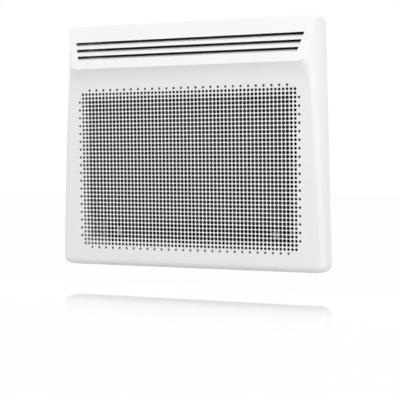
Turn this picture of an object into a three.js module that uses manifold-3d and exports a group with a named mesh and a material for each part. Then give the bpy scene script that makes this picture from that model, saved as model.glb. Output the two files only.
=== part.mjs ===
// Wall panel convector heater on its wall bracket, in millimetres.
// The wall is the plane y = 0 and the front faces -Y; +Z is up and z = 0 is half the height.
import * as THREE from 'three';
import { mergeGeometries, mergeVertices } from 'three/addons/utils/BufferGeometryUtils.js';
import Module from 'manifold-3d';

const wasm = await Module();
wasm.setup();

// ---- Driving sizes ----
const seat = 0.3; // clearance left between pieces that touch

const height = 417;
const wallGap = 22; // wall to the back of the rear casing
const casingDepth = 32.8; // back of the rear casing to the rear rim of the front frame
const frameDepth = 38.7; // rear rim to the front field at its centre

const frame = {
  wall: 3,
  rimHalfWidth: 239.5, // rear rim at z = 0
  sideTaper: 0.0292, // half-width gained per mm downwards
  cornerRadius: 15,
  topCorner: 3, // the same corners on the front, at the top
  bottomFillet: 11,
  topEdge: 3,
  cornerSteps: 4,
  filletSteps: 4,
  sideSteps: 2
};

// Each side comes in ahead of the rim, with a power of the depth.
const flank = {
  power: 3,
  inset: 23.5, // beside the lip, at the lip's depth
  scoopLoss: 8.5, // what is lost beside the scoop, and how far below the lip
  scoopFade: [22, 92],
  lowLoss: 11,
  lowFade: [92, 292],
  topLoss: 16, // what is lost towards the top, and how far below it
  topFade: [40, 6.5],
  topPower: 1.3
};

// The cheek is the round between the field or the scoop and the side.
const cheek = {
  width: 15.5, // from the rim's half-width in to the flat of the field
  depth: 11,
  lipGain: 18.2, // wider beside the scoop, from this far below the lip
  reach: 47.4,
  power: 2.5,
  lowLoss: 4
};

const hood = {
  height: 76.1,
  lipReach: 14.7, // lip ahead of the field's centre
  lean: 0.2915, // mm forward per mm downwards
  lipCorner: 9,
  crease: 1.6,
  scoopHeight: 34.1
};

const field = { sill: 27.1, tilt: THREE.MathUtils.degToRad(1.76) };

const outlet = {
  slots: 3,
  firstBelowTop: 31.3,
  slotHeight: 6.3,
  pitch: 12.2,
  endInset: 36.5, // slot end inside the rim's half-width, at the lip's height
  spread: 0.29, // half-length gained per mm upwards
  depth: 7,
  rise: 0.36, // mm up per mm inwards
  border: 3
};

const panel = {
  sheet: 0.8,
  sideMargin: 26, // window's side inside the rim's half-width at z = 0
  corner: 12,
  ledge: 5,
  holePitch: 27.2, // one modelled hole stands for a block of 4 x 4 holes at 6.8 mm
  hole: 20.8,
  edgeHole: 18.8,
  margin: 6,
  holeSides: 6
};

const casing = {
  sheet: 1.2,
  rimInset: 1, // rear rim to the back of the casing's flange
  flangeStep: 22.5, // rim's half-width less the casing's at the flange
  backStep: 41,
  floorRise: 7.5,
  roofDrop: 16,
  backRoofDrop: 31,
  corner: 14
};

const screw = { bottomInset: 30.5, middle: 60, topInset: 40.5, headRadius: 3.4, headHeight: 2, radius: 1.3, length: 12 };
const boss = { radius: 4.5, length: 20, bore: 1.7 };

const bracket = {
  sheet: 1.5,
  legX: 104, // outer face of each leg's flange
  legWidth: 30,
  legHeight: 250,
  barHeight: 34,
  hookHeights: [-85, 105],
  hookShank: 8,
  hookLip: 5,
  hookWidth: 3,
  liftTravel: 10,
  screwX: 60,
  screwHole: 4
};

const shield = {
  standoff: 8,
  sheet: 0.8,
  sideStep: 59.5, // rim's half-width less the shield's
  flange: 10,
  foot: 32,
  topDrop: 94
};
const spacer = { sideInset: 40, inset: 22, radius: 5, bore: 2 };
const deflector = { sheet: 0.8, overRails: 2, overShield: 2, sideGap: 1, underTop: 22, steps: 8 };

const radiant = {
  frontGap: 10,
  thickness: 3.2,
  bottomRise: 50,
  topGap: 23.9, // below the shield's top
  corner: 4,
  ribProud: 1.2,
  ribHalfHeight: 8,
  ribEndGap: 24
};
const rail = { sheet: 1, footWidth: 12, lip: 8, inset: 1 };

const element = {
  ahead: 22.2, // shield's front to the rod's centre
  centreRise: 58.5,
  endGap: 40, // fins' end to the shield's side
  wall: 3,
  arm: 17,
  armWidth: 2.4,
  fin: 5,
  finWidth: 1.4,
  finsPerArm: 3,
  rodRadius: 4,
  rodOverhang: 22
};
const bush = { radius: 7, collar: 9, length: 8, collarLength: 2.4 };
const elementBracket = { sheet: 1.2, offset: 9, halfHeight: 15, footWidth: 12, beyondCollar: 2, chamfer: 6 };

const cutout = { x: 40, rise: 112, radius: 8, height: 8, flangeWidth: 26, flangeHeight: 12, flange: 1.2 };
const terminal = {
  sideStep: 47.5, // rim's half-width to the block's centre
  width: 16,
  depth: 14,
  height: 40,
  rise: 82,
  poles: 3,
  screwRadius: 2.6,
  wellDepth: 4
};
const gland = {
  sideStep: 51.5, // rim's half-width to the gland's axis
  behindRim: 17,
  radius: 8,
  tip: 7,
  bore: 4.2,
  flange: 12,
  flangeHeight: 2,
  length: 16
};
const sensor = { sideStep: 53.5, postRadius: 2.5, postHeight: 16, beadRadius: 3.5, foot: 7 };
const lead = { radius: 1.8, sides: 8, steps: 12, bend: 6, sag: 5, rodRun: 10, rodLoop: [22, 16] };

const inlet = {
  sideStep: 71.5, // rim's half-width less half the length of the row of gaps
  gap: 9,
  pitch: 12,
  gapDepth: 20,
  plate: 1.6,
  border: 5,
  corner: 2,
  clip: 6,
  clipSheet: 1.2,
  clipOver: 2
};

const control = {
  faceStep: 19.5, // rim's half-width to the housing's face
  openingReach: 20, // how far the casing's opening runs in behind the housing
  depth: 24,
  wall: 2,
  width: 28,
  height: 150,
  centreZ: 35,
  behindRim: 14.8, // centre of the housing's face behind the rear rim
  corner: 3
};
const display = { width: 18, height: 16, below: 18, glass: 1, bezel: 2.2 };
const button = {
  width: 13.4,
  height: 8.4,
  proud: 1.2,
  travel: 1,
  collar: 1.2,
  collarDepth: 2.5,
  plunger: 4.8,
  firstBelow: 44,
  pitch: 16,
  names: ['button_power', 'button_mode', 'button_plus', 'button_minus']
};
const board = { thickness: 1.6, behindFace: 8.8, powerBehindFace: 19.8 };
const relay = { width: 18, height: 24, depth: 7.5, below: 65 };
const tilt = { radius: 4.5, depth: 7.5, below: 24 };
const rocker = {
  below: 122,
  bezelWidth: 17,
  bezelHeight: 26,
  bezel: 1.3,
  bodyWidth: 13,
  bodyHeight: 22,
  bodyDepth: 17,
  wellWidth: 10,
  wellHeight: 19,
  wellDepth: 9.6,
  halfHeight: 8.4,
  pivotDepth: 3.5,
  swing: THREE.MathUtils.degToRad(8)
};

const foot = { x: 150, rise: 48, wallRadius: 9, neckRadius: 6, plug: 3, plugLength: 3.2 };

// ---- Places worked out from the sizes ----
const zTop = height / 2;
const zBottom = -height / 2;
const casingBackY = -wallGap;
const rimY = casingBackY - casingDepth;
const fieldY = rimY - frameDepth;
const lipZ = zTop - hood.height;
const scoopFootZ = lipZ - hood.scoopHeight;
const windowTopZ = scoopFootZ - seat;
const windowBottomZ = zBottom + field.sill;
const windowHalfWidth = frame.rimHalfWidth - panel.sideMargin;
const fieldCentreZ = (windowTopZ + windowBottomZ) / 2;
const windowHalfHeight = (windowTopZ - windowBottomZ) / 2;
const fieldLean = Math.tan(field.tilt);
const lipDepth = rimY - fieldY + hood.lipReach;
const casingInnerY = casingBackY - casing.sheet;
const flangeBackY = rimY - casing.rimInset;
const flangeFrontY = flangeBackY - casing.sheet;
const shieldBackY = casingInnerY - shield.standoff;
const shieldFrontY = shieldBackY - shield.sheet;
const casingFloorZ = zBottom + casing.floorRise;
const insideFloorZ = casingFloorZ + casing.sheet;
const shieldHalf = frame.rimHalfWidth - shield.sideStep;
const shieldBottomZ = zBottom + shield.foot;
const shieldTopZ = zTop - shield.topDrop;
const railOuterX = shieldHalf - shield.sheet - rail.inset;
const radiantHalf = railOuterX - rail.sheet - seat;
const radiantBottomZ = windowBottomZ + radiant.bottomRise;
const radiantTopZ = shieldTopZ - radiant.topGap;
const radiantFrontY = fieldY + frame.wall + radiant.frontGap;
const radiantBackY = radiantFrontY + radiant.thickness;
const elementHalf = shieldHalf - element.endGap;
const elementY = shieldFrontY - element.ahead;
const elementZ = zBottom + element.centreRise;
const terminalX = frame.rimHalfWidth - terminal.sideStep;
const glandX = frame.rimHalfWidth - gland.sideStep;
const sensorX = sensor.sideStep - frame.rimHalfWidth;
const inletHalf = frame.rimHalfWidth - inlet.sideStep;
const faceX = frame.rimHalfWidth - control.faceStep;
const controlY = rimY + control.behindRim;
const controlTopZ = control.centreZ + control.height / 2;

// ---- Helpers ----
function solid(geometry) {
  const bare = geometry.index ? geometry.toNonIndexed() : geometry.clone();
  for (const name of Object.keys(bare.attributes)) {
    if (name !== 'position') bare.deleteAttribute(name);
  }
  const merged = mergeVertices(bare, 1e-4);
  const corners = [];
  for (let i = 0; i < merged.index.count; i += 3) {
    const [a, b, c] = merged.index.array.slice(i, i + 3);
    if (a !== b && b !== c && c !== a) corners.push(a, b, c);
  }
  return new wasm.Manifold(new wasm.Mesh({
    numProp: 3,
    vertProperties: new Float32Array(merged.attributes.position.array),
    triVerts: new Uint32Array(corners)
  }));
}

function geometryOf(body) {
  const mesh = body.getMesh();
  const geometry = new THREE.BufferGeometry();
  geometry.setAttribute('position', new THREE.BufferAttribute(mesh.vertProperties, 3));
  geometry.setIndex(new THREE.BufferAttribute(mesh.triVerts, 1));
  return geometry;
}

const join = (...bodies) => bodies.reduce((all, body) => all.add(body));
const cut = (body, ...tools) => tools.reduce((left, tool) => left.subtract(tool), body);

function block(x0, x1, y0, y1, z0, z1) {
  const geometry = new THREE.BoxGeometry(x1 - x0, y1 - y0, z1 - z0);
  geometry.translate((x0 + x1) / 2, (y0 + y1) / 2, (z0 + z1) / 2);
  return solid(geometry);
}

// A round bar from one point to another; the two may differ in one axis only.
function rod(from, to, radius, sides = 16, endRadius = radius) {
  const start = new THREE.Vector3(...from);
  const end = new THREE.Vector3(...to);
  const length = start.distanceTo(end);
  const geometry = new THREE.CylinderGeometry(endRadius, radius, length, sides);
  const turn = new THREE.Quaternion().setFromUnitVectors(
    new THREE.Vector3(0, 1, 0),
    end.clone().sub(start).normalize()
  );
  geometry.applyQuaternion(turn);
  geometry.translate(...start.add(end).multiplyScalar(0.5).toArray());
  return solid(geometry);
}

// A body through matching rings of points, closed by flat ends; the rings are convex.
function loft(rings) {
  const count = rings[0].length;
  const last = (rings.length - 1) * count;
  const index = [];
  for (let r = 0; r < rings.length - 1; r += 1) {
    for (let i = 0; i < count; i += 1) {
      const a = r * count + i;
      const b = r * count + (i + 1) % count;
      index.push(a, b, b + count, a, b + count, a + count);
    }
  }
  for (let i = 1; i < count - 1; i += 1) {
    index.push(0, i + 1, i);
    index.push(last, last + i, last + i + 1);
  }
  const geometry = new THREE.BufferGeometry();
  geometry.setAttribute('position', new THREE.Float32BufferAttribute(rings.flat(2), 3));
  geometry.setIndex(index);
  const body = solid(geometry);
  if (body.volume() > 0) return body;
  geometry.setIndex(index.map((_, i) => index[i - i % 3 + (2 - i % 3)]));
  return solid(geometry);
}

function shapeOf(points) {
  return new THREE.Shape(points.map(([a, b]) => new THREE.Vector2(a, b)));
}

function extruded(shape, depth, options = {}) {
  return new THREE.ExtrudeGeometry(shape, { depth, bevelEnabled: false, curveSegments: 4, ...options });
}

// Outline in x and z, drawn out along y.
function plateY(shape, y0, y1) {
  const geometry = extruded(shape, y1 - y0);
  geometry.rotateX(Math.PI / 2);
  geometry.translate(0, y1, 0);
  return solid(geometry);
}

// Outline in y and z, drawn out along x.
function barX(points, x0, x1) {
  const geometry = extruded(Array.isArray(points) ? shapeOf(points) : points, x1 - x0);
  geometry.applyMatrix4(new THREE.Matrix4().set(0, 0, 1, x0, 1, 0, 0, 0, 0, 1, 0, 0, 0, 0, 0, 1));
  return solid(geometry);
}

// Outline in x and y, drawn out along z.
function barZ(points, z0, z1) {
  const geometry = extruded(shapeOf(points), z1 - z0);
  geometry.translate(0, 0, z0);
  return solid(geometry);
}

function roundedRect(x0, x1, z0, z1, radius) {
  const shape = new THREE.Shape();
  shape.moveTo(x0 + radius, z0);
  shape.lineTo(x1 - radius, z0);
  shape.absarc(x1 - radius, z0 + radius, radius, -Math.PI / 2, 0);
  shape.lineTo(x1, z1 - radius);
  shape.absarc(x1 - radius, z1 - radius, radius, 0, Math.PI / 2);
  shape.lineTo(x0 + radius, z1);
  shape.absarc(x0 + radius, z1 - radius, radius, Math.PI / 2, Math.PI);
  shape.lineTo(x0, z0 + radius);
  shape.absarc(x0 + radius, z0 + radius, radius, Math.PI, Math.PI * 1.5);
  return shape;
}

function tube(points) {
  const section = new THREE.Shape();
  section.absarc(0, 0, lead.radius, 0, Math.PI * 2);
  const path = new THREE.CatmullRomCurve3(points.map((point) => new THREE.Vector3(...point)));
  return solid(new THREE.ExtrudeGeometry(section, {
    steps: lead.steps,
    curveSegments: lead.sides / 2,
    extrudePath: path
  }));
}

// ---- Front frame: hood, scoop, field surround and sides, moulded in one ----
const rimHalf = (z) => frame.rimHalfWidth - frame.sideTaper * z;
const fieldReach = (z) => fieldLean * (z - fieldCentreZ);
const scoopRise = hood.lipReach - fieldReach(lipZ);
const scoopRadius = (hood.scoopHeight ** 2 + scoopRise ** 2) / (2 * scoopRise);

// How far a rounded edge has fallen away at a distance from its end.
function edgeDrop(distance, radius) {
  if (distance >= radius) return 0;
  const inside = radius - Math.max(distance, 0);
  return radius - Math.sqrt(Math.max(radius ** 2 - inside ** 2, 0));
}

// Front surface ahead of the field's centre plane, at height z.
function frontReach(z) {
  if (z >= lipZ) return hood.lipReach - hood.lean * (z - lipZ);
  if (z <= scoopFootZ) return fieldReach(z);
  return fieldReach(z) + scoopRadius - Math.sqrt(scoopRadius ** 2 - (z - scoopFootZ) ** 2);
}

const share = (value, start, end) => THREE.MathUtils.clamp((value - start) / (end - start), 0, 1);

// How far the side at height z has come in at the lip's depth.
function flankInset(z) {
  return flank.inset
    - flank.scoopLoss * share(lipZ - z, ...flank.scoopFade)
    - flank.lowLoss * share(lipZ - z, ...flank.lowFade)
    - flank.topLoss * share(zTop - z, ...flank.topFade) ** flank.topPower;
}

function cheekWidth(z) {
  return cheek.width
    + cheek.lipGain * share(lipZ - z, cheek.reach, 0) ** cheek.power
    - cheek.lowLoss * share(lipZ - z, ...flank.lowFade);
}

// How far the side corners at the ends have come in at height z, for a corner of this radius.
function cornerDrop(z, inset, topRadius, bottomRadius) {
  return edgeDrop(zTop - inset - z, Math.max(topRadius - inset, 0.01))
    + edgeDrop(z - zBottom - inset, bottomRadius - inset);
}

// Front edge of the section at height z: the flat's end, the turn and the place where the side begins.
function turnPoints(z, inset, frontY, sideX) {
  const ahead = rimY - frontY;
  const crease = hood.crease + edgeDrop(z - lipZ, hood.lipCorner);
  const frontX = z >= lipZ
    ? sideX(ahead) - crease
    : rimHalf(z) - inset - cheekWidth(z) - cornerDrop(z, inset, frame.topCorner, frame.cornerRadius);
  const sideDepth = Math.max(ahead - (z >= lipZ ? crease : cheek.depth), 1);
  const slope = 2 * (sideX(sideDepth - 0.5) - sideX(sideDepth));
  const turnX = sideX(sideDepth) - slope * (ahead - sideDepth);
  return [[frontX, frontY], [turnX, frontY], [sideX(sideDepth), rimY - sideDepth]];
}

// Closed ring at height z; inset draws the same form inside the wall.
function frameRing(z, inset, rearY) {
  const frontY = fieldY - frontReach(z) + inset
    + cornerDrop(z, inset, frame.topEdge, frame.bottomFillet);
  const rearDrop = cornerDrop(z, inset, frame.cornerRadius, frame.cornerRadius);
  const frontDrop = cornerDrop(z, inset, frame.topCorner, frame.cornerRadius);
  const sideX = (depth) => rimHalf(z) - inset
    - flankInset(z) * (depth / lipDepth) ** flank.power
    - THREE.MathUtils.lerp(rearDrop, frontDrop, depth / (rimY - frontY));
  const [front, turn, side] = turnPoints(z, inset, frontY, sideX);
  const right = [];
  for (let i = 0; i <= frame.filletSteps; i += 1) {
    const t = i / frame.filletSteps;
    right.push([0, 1].map((k) => (1 - t) ** 2 * front[k] + 2 * t * (1 - t) * turn[k] + t ** 2 * side[k]));
  }
  const sideDepth = rimY - side[1];
  for (let i = frame.sideSteps; i > 0; i -= 1) {
    const depth = sideDepth * i / (frame.sideSteps + 1);
    right.push([sideX(depth), rimY - depth]);
  }
  right.push([sideX(0), rearY]);
  const left = right.map(([x, y]) => [-x, y]).reverse();
  return [...right, ...left].map(([x, y]) => [x, y, z]);
}

const rimPoint = (ring) => ring[ring.length / 2 - 1];

function frameHeights(inset) {
  const radius = frame.cornerRadius - inset;
  const ends = [];
  for (let i = 0; i <= frame.cornerSteps; i += 1) {
    ends.push(radius * (1 - Math.cos(i / frame.cornerSteps * Math.PI / 2)));
  }
  const low = ends.map((d) => zBottom + inset + d);
  const high = ends.map((d) => zTop - inset - d).reverse();
  const side = [flank.lowFade[0], (flank.lowFade[0] + cheek.reach) / 2].map((drop) => lipZ - drop);
  const scoop = [1, 0.75, 0.5, 0.32, 0.17, 0.07].map((part) => lipZ - cheek.reach * part);
  const lip = [0, 0.1, 0.35, 1].map((part) => lipZ + hood.lipCorner * part);
  const shoulder = [1, 0.65].map((part) => zTop - flank.topFade[0] * part);
  return [...low, fieldCentreZ, ...side, ...scoop, scoopFootZ, ...lip, ...shoulder, ...high]
    .sort((a, b) => a - b)
    .filter((z, i, all) => i === 0 || z - all[i - 1] > 0.05);
}

const frameBody = (inset, rearY) => loft(frameHeights(inset).map((z) => frameRing(z, inset, rearY)));

// Place on the hood's face, moved inwards along the slots' rise.
function onFace(x, z, inwards) {
  return [x, fieldY - frontReach(z) + inwards, z + inwards * outlet.rise];
}

const slotTop = (slot) => zTop - outlet.firstBelowTop - slot * outlet.pitch;
const slotHalf = (z) => rimHalf(lipZ) - outlet.endInset + outlet.spread * (z - lipZ);

function slotCutter(slot) {
  const top = slotTop(slot);
  const bottom = top - outlet.slotHeight;
  const loop = (inwards) => [
    onFace(-slotHalf(bottom), bottom, inwards),
    onFace(slotHalf(bottom), bottom, inwards),
    onFace(slotHalf(top), top, inwards),
    onFace(-slotHalf(top), top, inwards)
  ];
  return loft([loop(-frame.wall), loop(outlet.depth + frame.wall)]);
}

// Thick strip behind the hood's face that the slots pass through.
function slatBlock() {
  const top = slotTop(0) + outlet.border + outlet.depth * outlet.rise;
  const bottom = slotTop(outlet.slots - 1) - outlet.slotHeight - outlet.border;
  const half = slotHalf(bottom) + outlet.border;
  const loop = (z) => [
    [-half, fieldY - frontReach(z) + 1, z],
    [half, fieldY - frontReach(z) + 1, z],
    [half, fieldY - frontReach(z) + outlet.depth, z],
    [-half, fieldY - frontReach(z) + outlet.depth, z]
  ];
  return loft([loop(bottom), loop(top)]);
}

// The window's outline about its own centre.
const windowShape = (grow) => roundedRect(
  -windowHalfWidth - grow,
  windowHalfWidth + grow,
  -windowHalfHeight - grow,
  windowHalfHeight + grow,
  panel.corner
);

// Cutter for the window in the leaning plane of the field, between two depths behind its surface.
function windowCutter(shape, front, back) {
  const geometry = extruded(shape, back - front);
  geometry.rotateX(Math.PI / 2);
  geometry.translate(0, back, 0);
  geometry.rotateX(field.tilt);
  geometry.translate(0, fieldY, fieldCentreZ);
  return solid(geometry);
}

const bossX = (z) => rimHalf(z) - frame.wall - screw.headRadius - 2 * seat;
const screwHeights = [zBottom + screw.bottomInset, -screw.middle, screw.middle, zTop - screw.topInset];
const screwPlaces = screwHeights.flatMap((z) => [[-bossX(z), z], [bossX(z), z]]);

function frontFrame() {
  const endY = flangeFrontY - seat;
  const bosses = screwPlaces.map(([x, z]) => rod([x, endY - boss.length, z], [x, endY, z], boss.radius, 12));
  const bores = screwPlaces.map(([x, z]) => rod([x, endY - screw.length, z], [x, endY + 1, z], boss.bore, 8));
  const slots = Array.from({ length: outlet.slots }, (_, slot) => slotCutter(slot));
  const shell = cut(frameBody(0, rimY), frameBody(frame.wall, rimY + 1));
  return cut(
    join(shell, slatBlock(), ...bosses),
    ...bores,
    ...slots,
    windowCutter(windowShape(0), -1, panel.sheet + seat),
    windowCutter(windowShape(-panel.ledge), -1, frame.wall + 2)
  );
}

// ---- Perforated panel, flush in the frame's window ----
function holeCutters() {
  const innerWidth = 2 * (windowHalfWidth - panel.margin);
  const innerHeight = 2 * (windowHalfHeight - panel.margin);
  const columns = Math.floor((innerWidth - panel.hole) / panel.holePitch) + 1;
  const rows = Math.floor((innerHeight - panel.hole) / panel.holePitch) + 1;
  const cutters = [];
  for (let row = 0; row < rows; row += 1) {
    for (let column = 0; column < columns; column += 1) {
      const onEdge = row === 0 || column === 0 || row === rows - 1 || column === columns - 1;
      const radius = (onEdge ? panel.edgeHole : panel.hole) / 2;
      const cutter = new THREE.CylinderGeometry(radius, radius, 4 * panel.sheet, panel.holeSides);
      cutter.translate(
        (column - (columns - 1) / 2) * panel.holePitch,
        panel.sheet / 2,
        (row - (rows - 1) / 2) * panel.holePitch
      );
      cutters.push(cutter);
    }
  }
  return solid(mergeGeometries(cutters));
}

// Drawn upright about the field's centre; its mesh is then leant back with the field.
const perforatedPanel = () => cut(plateY(windowShape(-seat), 0, panel.sheet), holeCutters());

// ---- Rear casing: a tapered steel tray with a flange inside the frame's rim ----
function casingRing(y, step, roofDrop, inset) {
  const low = casingFloorZ + inset;
  const high = zTop - roofDrop - inset;
  const lowHalf = rimHalf(low) - step - inset;
  const highHalf = rimHalf(high) - step - inset;
  const radius = casing.corner - inset;
  const ring = [];
  const corners = [
    [lowHalf - radius, low + radius, -Math.PI / 2],
    [highHalf - radius, high - radius, 0],
    [-highHalf + radius, high - radius, Math.PI / 2],
    [-lowHalf + radius, low + radius, Math.PI]
  ];
  for (const [x, z, start] of corners) {
    for (let i = 0; i <= frame.cornerSteps; i += 1) {
      const angle = start + i / frame.cornerSteps * Math.PI / 2;
      ring.push([x + radius * Math.cos(angle), y, z + radius * Math.sin(angle)]);
    }
  }
  return ring;
}

function casingFlange() {
  const inset = frame.wall + seat;
  const right = frameHeights(inset).map((z) => {
    const [x] = rimPoint(frameRing(z, inset, rimY));
    return [x, z];
  });
  const left = right.map(([x, z]) => [-x, z]).reverse();
  return plateY(shapeOf([...right, ...left]), flangeFrontY, flangeBackY);
}

const legCentres = [-1, 1].map((side) => side * (bracket.legX - bracket.sheet / 2));

function hookSlots() {
  const half = bracket.hookWidth;
  const drop = bracket.hookShank + bracket.liftTravel + 2;
  return legCentres.flatMap((x) => bracket.hookHeights.map((z) => block(
    x - half, x + half, casingInnerY - 1, casingBackY + 1, z - drop, z + seat
  )));
}

const footPlaces = [-foot.x, foot.x].map((x) => [x, zBottom + foot.rise]);
const inletHalfDepth = inlet.gapDepth / 2 + inlet.border / 2;
const inletY = (casingBackY + flangeBackY) / 2;

function rearCasing() {
  const outer = loft([
    casingRing(flangeFrontY, casing.flangeStep, casing.roofDrop, 0),
    casingRing(casingBackY, casing.backStep, casing.backRoofDrop, 0)
  ]);
  const inner = loft([
    casingRing(flangeFrontY - 1, casing.flangeStep, casing.roofDrop, casing.sheet),
    casingRing(casingInnerY, casing.backStep, casing.backRoofDrop, casing.sheet)
  ]);
  const grow = seat;
  return cut(
    join(outer, casingFlange()),
    inner,
    ...hookSlots(),
    ...screwPlaces.map(([x, z]) => rod([x, flangeFrontY - 1, z], [x, flangeBackY + 1, z], boss.bore, 8)),
    ...footPlaces.map(([x, z]) => rod([x, casingInnerY - 1, z], [x, casingBackY + 1, z], foot.plug + seat, 12)),
    rod([glandX, glandY, casingFloorZ - 1], [glandX, glandY, insideFloorZ + 1], gland.radius + seat),
    block(
      -inletHalf, inletHalf,
      inletY - inletHalfDepth, inletY + inletHalfDepth,
      casingFloorZ - 1, insideFloorZ + 1
    ),
    block(
      faceX - control.depth - control.openingReach, faceX + 5,
      controlY - control.width / 2 - grow, controlY + control.width / 2 + grow,
      control.centreZ - control.height / 2 - grow, controlTopZ + grow
    )
  );
}

function casingScrew([x, z]) {
  const headY = flangeBackY + seat;
  return join(
    rod([x, headY, z], [x, headY + screw.headHeight, z], screw.headRadius, 10, screw.headRadius * 0.8),
    rod([x, headY - screw.length + 2, z], [x, headY + 0.5, z], screw.radius, 8)
  );
}

// ---- Air inlet grille under the rear casing ----
function inletGrille() {
  const top = casingFloorZ - seat;
  const shape = roundedRect(
    -inletHalf - inlet.border, inletHalf + inlet.border,
    inletY - inletHalfDepth - inlet.border / 2, inletY + inletHalfDepth + inlet.border / 2, inlet.corner
  );
  const count = Math.floor(2 * inletHalf / inlet.pitch);
  const gaps = Array.from({ length: count }, (_, i) => {
    const x = (i - (count - 1) / 2) * inlet.pitch;
    return block(
      x - inlet.gap / 2, x + inlet.gap / 2,
      inletY - inlet.gapDepth / 2, inletY + inlet.gapDepth / 2,
      top - inlet.plate - 1, top + 1
    );
  });
  const geometry = extruded(shape, inlet.plate);
  geometry.translate(0, 0, top - inlet.plate);
  const clips = [-1, 1].flatMap((side) => [-1, 1].map((end) => {
    const y = inletY + side * (inletHalfDepth - seat - casing.sheet / 2);
    const x = end * (inletHalf - inlet.pitch);
    return block(
      x - inlet.clip / 2, x + inlet.clip / 2,
      y - inlet.clipSheet / 2, y + inlet.clipSheet / 2,
      top - 0.5, insideFloorZ + inlet.clipOver
    );
  }));
  return join(cut(solid(geometry), ...gaps), ...clips);
}

// ---- Heat shield, its spacers and the air deflector ----
function heatShield() {
  const half = shieldHalf;
  const lipY = shieldFrontY - shield.flange;
  return barZ([
    [-half, lipY], [-half + shield.sheet, lipY], [-half + shield.sheet, shieldFrontY],
    [half - shield.sheet, shieldFrontY], [half - shield.sheet, lipY], [half, lipY],
    [half, shieldBackY], [-half, shieldBackY]
  ], shieldBottomZ, shieldTopZ);
}

const spacerPlaces = [-1, 1].map((side) => side * (shieldHalf - spacer.sideInset)).flatMap((x) => [
  [x, shieldBottomZ + spacer.inset], [x, shieldTopZ - spacer.inset]
]);

function shieldSpacer([x, z]) {
  const ends = [shieldBackY + seat, casingInnerY - seat];
  return cut(
    rod([x, ends[0], z], [x, ends[1], z], spacer.radius, 10),
    rod([x, ends[0] - 1, z], [x, ends[1] + 1, z], spacer.bore, 6)
  );
}

function airDeflector() {
  const footY = shieldFrontY - seat;
  const footZ = radiantTopZ + deflector.overRails;
  const frontZ = zTop - deflector.underTop;
  const frontY = fieldY - frontReach(frontZ) + outlet.depth + seat;
  const bendZ = shieldTopZ + deflector.overShield;
  const half = shieldHalf - shield.sheet - deflector.sideGap;
  const curve = (inset) => {
    const points = [[footY - inset, footZ]];
    for (let i = 0; i <= deflector.steps; i += 1) {
      const angle = i / deflector.steps * Math.PI / 2;
      points.push([
        frontY + (footY - frontY - inset) * Math.cos(angle),
        bendZ + (frontZ - bendZ - inset) * Math.sin(angle)
      ]);
    }
    return points;
  };
  return barX([...curve(0), ...curve(deflector.sheet).reverse()], -half, half);
}

// ---- Radiant panel and its side rails ----
function radiantPanel() {
  const outline = roundedRect(-radiantHalf, radiantHalf, radiantBottomZ, radiantTopZ, radiant.corner);
  const ribHalf = radiantHalf - radiant.ribEndGap;
  const ribs = [-1, 0, 1].map((place) => {
    const z = (radiantBottomZ + radiantTopZ) / 2 + place * (radiantTopZ - radiantBottomZ) / 4;
    return block(
      -ribHalf, ribHalf,
      radiantFrontY - radiant.ribProud, radiantFrontY + 0.5,
      z - radiant.ribHalfHeight, z + radiant.ribHalfHeight
    );
  });
  return join(plateY(outline, radiantFrontY, radiantBackY), ...ribs);
}

function radiantRail(side) {
  const footY = shieldFrontY - seat;
  const web = railOuterX - rail.sheet;
  const behind = radiantBackY + seat;
  const ahead = radiantFrontY - seat;
  const profile = [
    [railOuterX - rail.footWidth, footY], [railOuterX, footY],
    [railOuterX, ahead - rail.sheet], [railOuterX - rail.lip, ahead - rail.sheet],
    [railOuterX - rail.lip, ahead], [web, ahead],
    [web, behind], [railOuterX - rail.lip, behind],
    [railOuterX - rail.lip, behind + rail.sheet], [web, behind + rail.sheet],
    [web, footY - rail.sheet], [railOuterX - rail.footWidth, footY - rail.sheet]
  ];
  return barZ(profile.map(([x, y]) => [side * x, y]), radiantBottomZ, radiantTopZ);
}

// ---- Convector element: finned aluminium body on a rod between two brackets ----
function finOutline() {
  const half = element.armWidth / 2;
  const bodyRadius = element.rodRadius + element.wall;
  const gap = (element.arm - bodyRadius) / element.finsPerArm;
  const points = [];
  for (let arm = 0; arm < 4; arm += 1) {
    const angle = Math.PI / 4 + arm * Math.PI / 2;
    const place = (along, across) => [
      elementY + along * Math.cos(angle) - across * Math.sin(angle),
      elementZ + along * Math.sin(angle) + across * Math.cos(angle)
    ];
    const edge = [[bodyRadius, half]];
    for (let fin = 1; fin <= element.finsPerArm; fin += 1) {
      const start = bodyRadius + fin * gap - element.finWidth;
      const reach = half + element.fin * fin / element.finsPerArm;
      edge.push([start, half], [start, reach], [start + element.finWidth, reach]);
      if (fin < element.finsPerArm) edge.push([start + element.finWidth, half]);
    }
    points.push(place(bodyRadius * Math.cos(0.5), -bodyRadius * Math.sin(0.5)));
    points.push(...edge.map(([along, across]) => place(along, -across)));
    points.push(...edge.reverse().map(([along, across]) => place(along, across)));
    points.push(place(bodyRadius * Math.cos(0.5), bodyRadius * Math.sin(0.5)));
  }
  return shapeOf(points);
}

function convectorFins() {
  const body = barX(finOutline(), -elementHalf, elementHalf);
  const reach = elementHalf + 1;
  return cut(body, rod([-reach, elementY, elementZ], [reach, elementY, elementZ], element.rodRadius + seat));
}

const rodEnd = elementHalf + element.rodOverhang;
const heatingRod = () => rod([-rodEnd, elementY, elementZ], [rodEnd, elementY, elementZ], element.rodRadius);
const bracketX = elementHalf + elementBracket.offset;

function elementBush(side) {
  const inner = side * (bracketX - bush.length / 2);
  const outer = side * (bracketX + bush.length / 2);
  const collarEnd = side * (bracketX - elementBracket.sheet / 2 - seat);
  const collarStart = collarEnd - side * bush.collarLength;
  const at = (x) => [x, elementY, elementZ];
  return cut(
    join(rod(at(inner), at(outer), bush.radius), rod(at(collarStart), at(collarEnd), bush.collar)),
    rod(at(inner - side), at(outer + side), element.rodRadius + seat)
  );
}

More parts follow.
